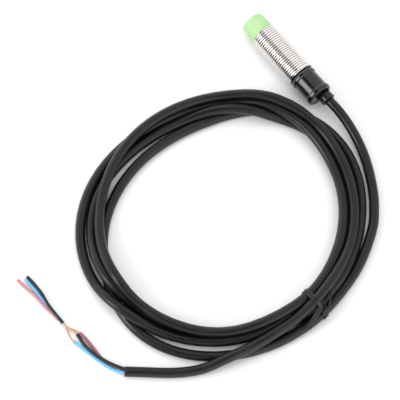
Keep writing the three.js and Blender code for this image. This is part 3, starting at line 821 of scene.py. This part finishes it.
# One pitch of the thread from root to root: how far along, and how high up the flank.
THREAD_FORM = [
    (0.0, 0.0), (0.02, 0.055), (0.06, 0.16), (0.12, 0.32), (0.19, 0.52), (0.26, 0.735),
    (0.31, 0.87), (0.35, 0.94), (0.4, 0.98), (0.46, 0.998), (0.54, 0.998), (0.6, 0.98),
    (0.65, 0.94), (0.69, 0.87), (0.74, 0.735), (0.81, 0.52), (0.88, 0.32), (0.94, 0.16),
    (0.98, 0.055),
]
THREAD_OVERRUN = 1.5               # turns of the form start this far behind the barrel
CHAMFER = 0.55
CHAMFER_HEIGHT = 0.6
END_GAP = 0.02


def thread_mesh():
    back, front = X_HOUSING + END_GAP, X_BARREL
    per = len(THREAD_FORM)
    pitches = int(front - back) + 3
    rows = pitches * per
    verts, faces = [], []
    for k in range(THREAD_SIDES):
        angle = 2 * math.pi * k / THREAD_SIDES
        for m in range(rows):
            turn, j = divmod(m, per)
            u, h = THREAD_FORM[j]
            x = back - THREAD_OVERRUN + turn + u + k / THREAD_SIDES
            r = THREAD_ROOT_R + (THREAD_R - THREAD_ROOT_R) * h
            limit = min(x - back, front - x)
            r = min(r, THREAD_ROOT_R + END_GAP + max(limit, 0.0) / CHAMFER * CHAMFER_HEIGHT)
            x = min(max(x, back), front)
            verts.append((x, r * math.sin(angle), AXIS_Z + r * math.cos(angle)))
    for k in range(THREAD_SIDES):
        # The last side meets the first one pitch further along.
        n, ahead = (k + 1, 0) if k < THREAD_SIDES - 1 else (0, per)
        for m in range(rows - 1 - ahead):
            low = n * rows + m + ahead
            faces.append((k * rows + m, k * rows + m + 1, low + 1, low))
    return verts, faces


verts, faces = thread_mesh()
barrel = mesh_from("threaded_barrel_shell", verts, faces, NICKEL)
bm = bmesh.new()
bm.from_mesh(barrel.data)
bmesh.ops.remove_doubles(bm, verts=bm.verts, dist=2e-6)
bmesh.ops.dissolve_degenerate(bm, edges=bm.edges, dist=1e-6)
loose = [v for v in bm.verts if not v.link_faces]
bmesh.ops.delete(bm, geom=loose, context="VERTS")
bmesh.ops.recalc_face_normals(bm, faces=bm.faces)
bm.to_mesh(barrel.data)
bm.free()
barrel.data.polygons.foreach_set("use_smooth", [True] * len(barrel.data.polygons))
ride_on(barrel, "threaded_barrel", slot="nickel")
collar_profile = filleted(
    [(X_BARREL - 0.02, 4.6), (X_BARREL - 0.02, THREAD_ROOT_R + 0.02),
     (X_BARREL + 0.03, THREAD_ROOT_R - 0.02), (X_BARREL + 0.03, 4.6)], [0, 0, 0, 0])
collar = lathe("barrel_end_face", collar_profile, NICKEL, 96)
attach(collar, "root")

REAR_WALL = 1.35
HOUSING_BORE_R = 4.4
BUSH_HOLE_R = 2.95
WINDOW_Y = 3.1
WINDOW_HOLE_R = 1.05
LENS_R = 1.0


def drill(obj, y, radius):
    """Cuts a round hole through the housing's rear wall."""
    tool_profile = [(X_REAR - 1, 0.001), (X_REAR - 1, radius), (X_REAR + 2, radius),
                    (X_REAR + 2, 0.001)]
    tool = lathe("drill", tool_profile, None, 64, y=y)
    cut = obj.modifiers.new("cut", "BOOLEAN")
    cut.operation = "DIFFERENCE"
    cut.solver = "EXACT"
    cut.object = tool
    obj.modifiers.remove(obj.modifiers["weighted_normals"])
    tool.modifiers.clear()
    depsgraph = bpy.context.evaluated_depsgraph_get()
    mesh = bpy.data.meshes.new_from_object(obj.evaluated_get(depsgraph))
    obj.modifiers.clear()
    obj.data = mesh
    bpy.data.objects.remove(tool)
    weighted(obj)


housing_outside = [
    (0, 5.05, 0.1), (-1.2, 5.45, 0.15), (-1.5, 5.65, 0.12), (-2.25, 5.65, 0.15),
    (-2.5, 5.5, 0.12), (-2.75, 5.25, 0.12), (-9.8, 5.25, 0.12), (-10.1, 5.5, 0.12),
    (-10.35, 5.65, 0.15), (-11.4, 5.65, 0.3), (-12.05, 5.45, 0.25), (-12.3, 5.1, 0.2),
]
profile = [(X_HOUSING, 4.5)] + [(X_HOUSING + x, r) for x, r, _ in housing_outside]
profile += [(X_REAR, 0.001), (X_REAR + REAR_WALL, 0.001),
            (X_REAR + REAR_WALL, HOUSING_BORE_R), (X_HOUSING - 1.6, HOUSING_BORE_R)]
fillets = [0] + [f for _, _, f in housing_outside] + [0, 0, 0, 0]
housing = lathe("rear_housing_shell", filleted(profile, fillets, 4), HOUSING, 128)
for y, radius in ((BUSH_OFFSET, BUSH_HOLE_R), (WINDOW_Y, WINDOW_HOLE_R)):
    drill(housing, y, radius)
ride_on(housing, "rear_housing", slot="black_plastic")

lens_profile = filleted(
    [(X_REAR + 1.2, 0.001), (X_REAR + 1.2, LENS_R), (X_REAR + 0.12, LENS_R),
     (X_REAR - 0.08, 0.6), (X_REAR - 0.12, 0.001)], [0, 0, 0.1, 0.4, 0], 4)
ride_on(lathe("indicator_lens", lens_profile, LENS, 48, y=WINDOW_Y), "indicator_window",
        slot="smoked_lens")

bush_profile = filleted(
    [(X_REAR + 0.3, 2.3), (X_REAR + 0.3, 2.92), (BUSH_END_X + 1.45, 2.92),
     (BUSH_END_X + 1.3, 2.75), (BUSH_END_X + 1.05, 2.75), (BUSH_END_X + 0.9, 3.08),
     (BUSH_END_X + 0.15, 3.08), (BUSH_END_X, 2.85), (BUSH_END_X, 2.12)],
    [0, 0, 0.12, 0.08, 0.08, 0.12, 0.2, 0.15, 0.08], 3)
ride_on(lathe("cable_bush_shell", bush_profile, BUSH, 96, y=BUSH_OFFSET), "cable_bush",
        slot="black_plastic")

# ---- the pieces inside keep their CAD shapes -----------------------------------------

INNER = {
    "ferrite_core": moulded("ferrite_grey", (0.05, 0.05, 0.055), 0.6, 0.1, 0.4).material,
    "coil_bobbin": moulded("bobbin_nylon", (0.75, 0.72, 0.62), 0.5).material,
    "sense_winding": COPPER,
    "housing_seal": moulded("seal_rubber", (0.02, 0.02, 0.02), 0.7, 0.1, 0.3).material,
    "clamp_ferrule": NICKEL,
    "cable_inner_end": moulded("inner_jacket", (0.02, 0.02, 0.02), 0.5).material,
    "circuit_board": moulded("board_lacquer", (0.03, 0.16, 0.06), 0.4).material,
    "indicator_led": moulded("led_body", (0.8, 0.75, 0.65), 0.35).material,
}
chip = moulded("chip_epoxy", (0.03, 0.03, 0.032), 0.55, 0.1, 0.4).material
tan = moulded("capacitor_ceramic", (0.45, 0.33, 0.2), 0.5).material
for name in ("oscillator_ic", "trim_resistor", "output_transistor", "load_resistor",
             "surge_suppressor"):
    INNER[name] = chip
for name in ("tuning_capacitor", "filter_capacitor"):
    INNER[name] = tan
for colour in ("blue", "black", "brown"):
    INNER[f"inner_lead_{colour}"] = CORES[colour]
for name, material in INNER.items():
    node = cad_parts[name]
    node.data.materials.clear()
    node.data.materials.append(material)

# ---- floor and light -----------------------------------------------------------------

floor_mesh = bpy.data.meshes.new("floor")
FLOOR = 1.6
floor_mesh.from_pydata(
    [(-FLOOR, -FLOOR, 0), (FLOOR, -FLOOR, 0), (FLOOR, FLOOR, 0), (-FLOOR, FLOOR, 0)],
    [], [(0, 1, 2, 3)])
paper = Nodes("floor_paper")
paper.colour(paper.mix(paper.noise(18, 3), (0.90, 0.90, 0.90), (0.94, 0.94, 0.94)))
paper.set(Roughness=0.6)
floor = new_object("floor", floor_mesh, paper.material)
floor.location = (-0.03, 0.06, -0.00005)

MIDDLE = Vector((-0.03, 0.06, 0.0))


def softbox(name, location, width, height, power):
    data = bpy.data.lights.new(name, "AREA")
    data.shape = "RECTANGLE"
    data.size = width
    data.size_y = height
    data.energy = power
    obj = bpy.data.objects.new(name, data)
    scene.collection.objects.link(obj)
    aim(obj, MIDDLE, location)
    obj.visible_camera = False
    return obj


KEY_DIRECTION = Vector((0.284, 0.83, 0.48))
KEY_DISTANCE = 1.1
FILL_HEIGHT = 1.6
softbox("key", MIDDLE + KEY_DIRECTION * KEY_DISTANCE, 0.3, 0.98, 5.8)
# Fills the shadows on the floor without showing in the glossy surfaces.
fill = softbox("fill", MIDDLE + Vector((0, 0, FILL_HEIGHT)), 2.0, 2.0, 13)
fill.visible_glossy = False

ROOM_LIGHT = 0.88
DARK_LIGHT = 0.01
END_LIGHT = 0.9


def studio_world():
    """An even pale room, brighter at both ends, with a dark gap overhead and a low one."""
    world = bpy.data.worlds.new("studio")
    world.use_nodes = True
    tree = world.node_tree
    background = tree.nodes["Background"]
    coords = tree.nodes.new("ShaderNodeTexCoord")

    def towards(direction, start, end):
        """0 within the start angle of a direction, in degrees, and 1 beyond the end angle."""
        dot = tree.nodes.new("ShaderNodeVectorMath")
        dot.operation = "DOT_PRODUCT"
        dot.inputs[1].default_value = Vector(direction).normalized()
        tree.links.new(coords.outputs["Generated"], dot.inputs[0])
        spread = tree.nodes.new("ShaderNodeMapRange")
        spread.interpolation_type = "SMOOTHSTEP"
        spread.inputs["From Min"].default_value = math.cos(math.radians(end))
        spread.inputs["From Max"].default_value = math.cos(math.radians(start))
        spread.inputs["To Min"].default_value = 1.0
        spread.inputs["To Max"].default_value = 0.0
        tree.links.new(dot.outputs["Value"], spread.inputs["Value"])
        return spread.outputs[0]

    def band(axis, low, high, soft):
        """0 between two values of a coordinate of the direction, 1 outside them."""
        part = tree.nodes.new("ShaderNodeSeparateXYZ")
        tree.links.new(coords.outputs["Generated"], part.inputs[0])
        away = tree.nodes.new("ShaderNodeMath")
        away.operation = "SUBTRACT"
        away.inputs[1].default_value = (low + high) / 2
        tree.links.new(part.outputs[axis], away.inputs[0])
        size = tree.nodes.new("ShaderNodeMath")
        size.operation = "ABSOLUTE"
        tree.links.new(away.outputs[0], size.inputs[0])
        spread = tree.nodes.new("ShaderNodeMapRange")
        spread.interpolation_type = "SMOOTHSTEP"
        spread.inputs["From Min"].default_value = (high - low) / 2 - soft
        spread.inputs["From Max"].default_value = (high - low) / 2
        tree.links.new(size.outputs[0], spread.inputs["Value"])
        return spread.outputs[0]

    def largest(a, b):
        node = tree.nodes.new("ShaderNodeMath")
        node.operation = "MAXIMUM"
        tree.links.new(a, node.inputs[0])
        tree.links.new(b, node.inputs[1])
        return node.outputs[0]

    # A dark strip overhead, long along the sensor, and a dark stretch at the horizon.
    overhead = largest(band("Y", 0.07, 0.72, 0.05), band("X", -0.5, 0.55, 0.06))
    overhead = largest(overhead, band("Z", 0.3, 1.2, 0.1))
    low = towards((0.25, 1.0, 0.06), 16, 30)
    # Dark where either gap is.
    both = tree.nodes.new("ShaderNodeMath")
    both.operation = "MULTIPLY"
    tree.links.new(overhead, both.inputs[0])
    tree.links.new(low, both.inputs[1])
    level = tree.nodes.new("ShaderNodeMapRange")
    level.inputs["To Min"].default_value = DARK_LIGHT
    level.inputs["To Max"].default_value = ROOM_LIGHT
    tree.links.new(both.outputs[0], level.inputs["Value"])
    # The two ends of the room are brighter, and light the flanks of the thread.
    ends = tree.nodes.new("ShaderNodeMath")
    ends.operation = "MULTIPLY_ADD"
    ends.inputs[1].default_value = END_LIGHT
    tree.links.new(band("X", -0.85, 0.85, 0.25), ends.inputs[0])
    tree.links.new(level.outputs[0], ends.inputs[2])
    background.inputs[0].default_value = (1, 1, 1, 1)
    tree.links.new(ends.outputs[0], background.inputs[1])
    return world


scene.world = studio_world()
scene.view_settings.view_transform = "Standard"
